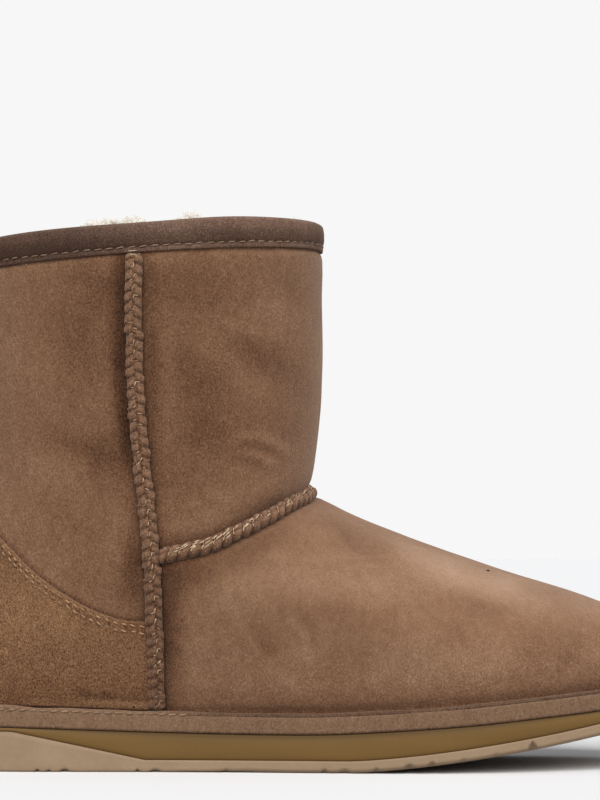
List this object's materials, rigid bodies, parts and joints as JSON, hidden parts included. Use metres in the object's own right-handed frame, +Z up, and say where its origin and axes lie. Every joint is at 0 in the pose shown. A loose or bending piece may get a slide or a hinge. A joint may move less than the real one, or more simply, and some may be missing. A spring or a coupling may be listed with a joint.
{
  "type": "sheepskin boot",
  "caption": "Low pull-on sheepskin boot with a wide hollow shaft, bound collar, raised seams, heel overlay and a flat foam and rubber sole.",
  "frame": {"origin": "on the floor under the middle of the boot's box", "axes": "+X towards the toe, +Z up the shaft, -Y towards the outer side of the foot"},
  "size_m": [0.2752, 0.107, 0.1931],
  "materials": {
    "suede": "brushed nap",
    "counter_suede": "coarse nap",
    "welt_suede": "brushed nap",
    "seam_suede": "brushed nap",
    "binding": "smooth matt tape",
    "midsole_foam": "matt foam",
    "outsole_rubber": "matt rubber",
    "fleece": "curly wool",
    "thread": "twisted thread"
  },
  "bodies": {
    "root": {"outsole": "outsole_rubber", "midsole": "midsole_foam", "welt": "welt_suede", "insole": "fleece", "upper": "suede", "heel_counter": "counter_suede", "collar_binding": "binding", "side_seam_outer": "seam_suede", "side_seam_inner": "seam_suede", "vamp_seam": "seam_suede"}
  },
  "joints": []
}
